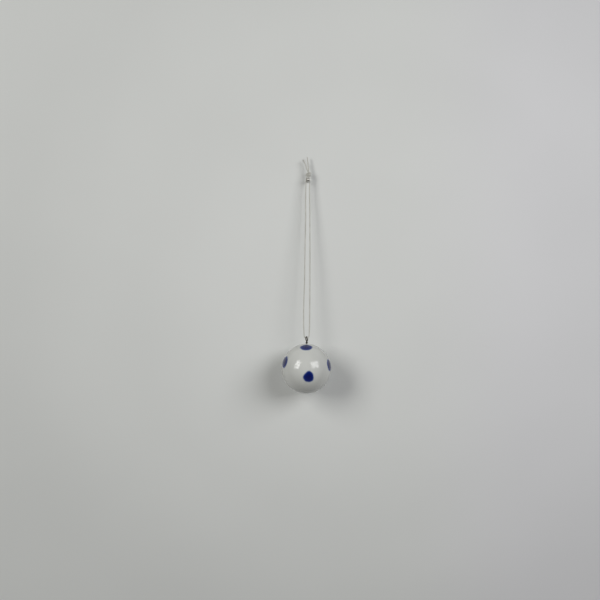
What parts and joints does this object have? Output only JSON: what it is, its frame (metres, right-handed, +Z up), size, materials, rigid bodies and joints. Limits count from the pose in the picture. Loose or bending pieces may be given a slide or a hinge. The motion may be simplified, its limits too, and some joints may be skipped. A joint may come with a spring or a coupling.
{
  "type": "porcelain bell",
  "caption": "Hollow porcelain ball bell with blue dots, a slit below, a loose pellet inside, a wire eye on top and a knotted cord loop that hangs it on a nail.",
  "frame": {"origin": "the hanging point: the centre of the nail or hook inside the top of the cord loop, under the knot", "axes": "+Z is up, against gravity, along the hanging cord; the front, with one dot below the middle, faces -Y; the sound slit runs along X"},
  "size_m": [0.0404, 0.0404, 0.1979],
  "materials": {
    "glazed_porcelain": "clear glossy glaze over white porcelain",
    "cobalt_glaze": "brushed cobalt blue under clear glossy glaze, with soft edges",
    "dark_wire": "annealed, darkened, satin",
    "bisque": "unglazed fired clay, matt",
    "cotton_cord": "twisted off-white cotton"
  },
  "bodies": {
    "cord": {"cord_loop": "cotton_cord", "cord_knot": "cotton_cord", "cord_end_left": "cotton_cord", "cord_end_up": "cotton_cord"},
    "hanger": {"wire_hanger": "dark_wire"},
    "bell": {"porcelain_shell": "glazed_porcelain", "cobalt_dots": "cobalt_glaze"},
    "pellet": {"pellet": "bisque"}
  },
  "joints": [
    {"name": "eye_swing", "type": "hinge", "parent": "cord", "child": "hanger", "pos_m": [0, 0, -0.13285], "axis": [1, 0, 0], "range_deg": [-90, 90]},
    {"name": "ball_swivel", "type": "hinge", "parent": "hanger", "child": "bell", "pos_m": [0, 0, -0.15775], "axis": [0, 0, 1], "continuous": true},
    {"name": "pellet_roll", "type": "hinge", "parent": "bell", "child": "pellet", "pos_m": [0, 0, -0.15775], "axis": [0, 1, 0], "range_deg": [-110, 110]}
  ]
}
